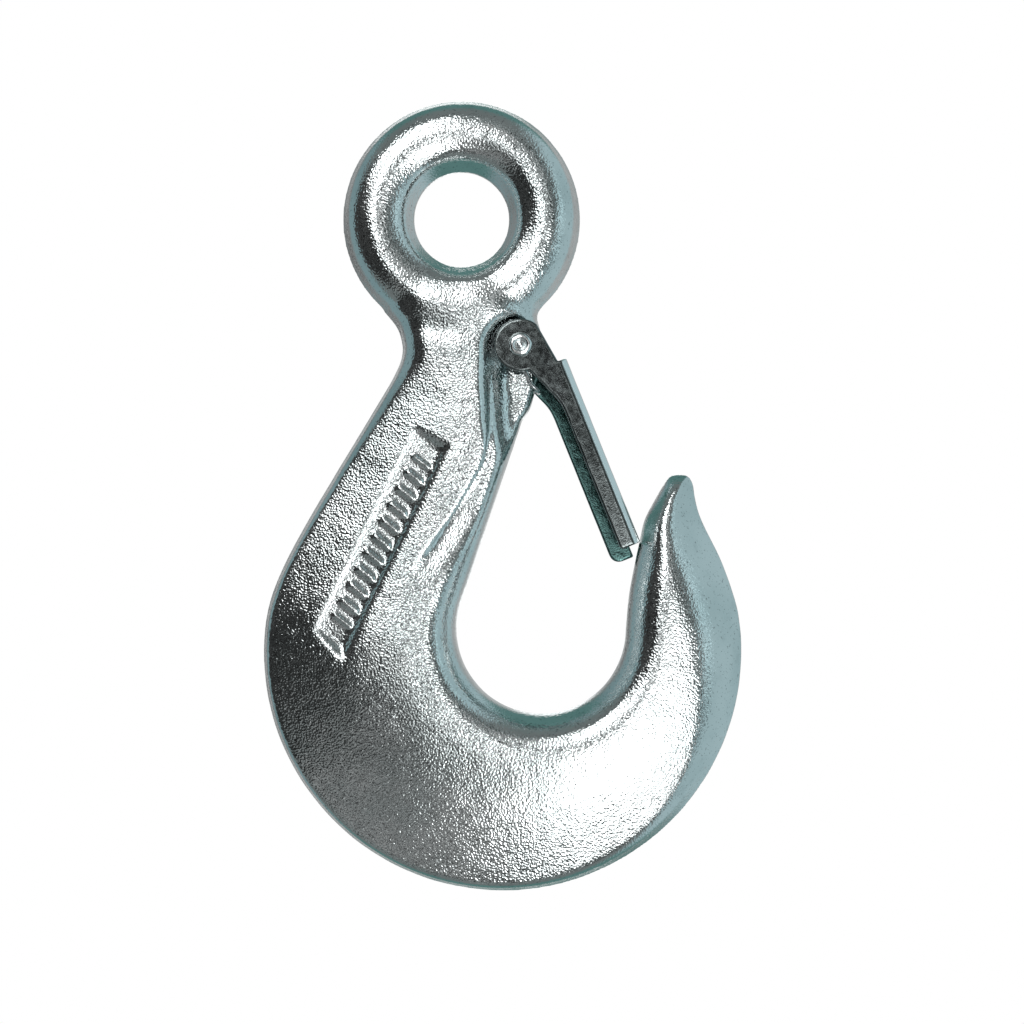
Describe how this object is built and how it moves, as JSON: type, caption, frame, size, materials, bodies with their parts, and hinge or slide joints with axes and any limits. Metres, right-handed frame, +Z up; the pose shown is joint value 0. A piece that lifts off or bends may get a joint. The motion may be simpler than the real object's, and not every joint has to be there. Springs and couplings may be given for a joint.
{
  "type": "eye hook with latch",
  "caption": "Forged lifting hook with a round eye at the top, a deep load seat and a sprung latch that closes the throat.",
  "frame": {"origin": "centre of the eye that the hook hangs from, at mid thickness", "axes": "+Z up from the load seat to the eye, +X towards the hook's throat and tip, -Y out of the marked face"},
  "size_m": [0.1048, 0.02, 0.1733],
  "materials": {
    "zinc_forging": "bright blue-white zinc plating on a forged surface",
    "latch_steel": "pressed sheet, darker zinc plating",
    "rivet_steel": "bright",
    "spring_wire": "drawn wire"
  },
  "bodies": {
    "hook": {"hook_body": "zinc_forging"},
    "latch": {"latch": "latch_steel", "latch_rivet": "rivet_steel", "latch_spring": "spring_wire"}
  },
  "joints": [
    {"name": "latch_hinge", "type": "hinge", "parent": "hook", "child": "latch", "pos_m": [0.0129, 0, -0.0281], "axis": [0, 1, 0], "range_deg": [0, 36], "stiffness_Nm_per_rad": 0.04, "springref_deg": -40.11, "deforming": ["latch_spring"]}
  ]
}
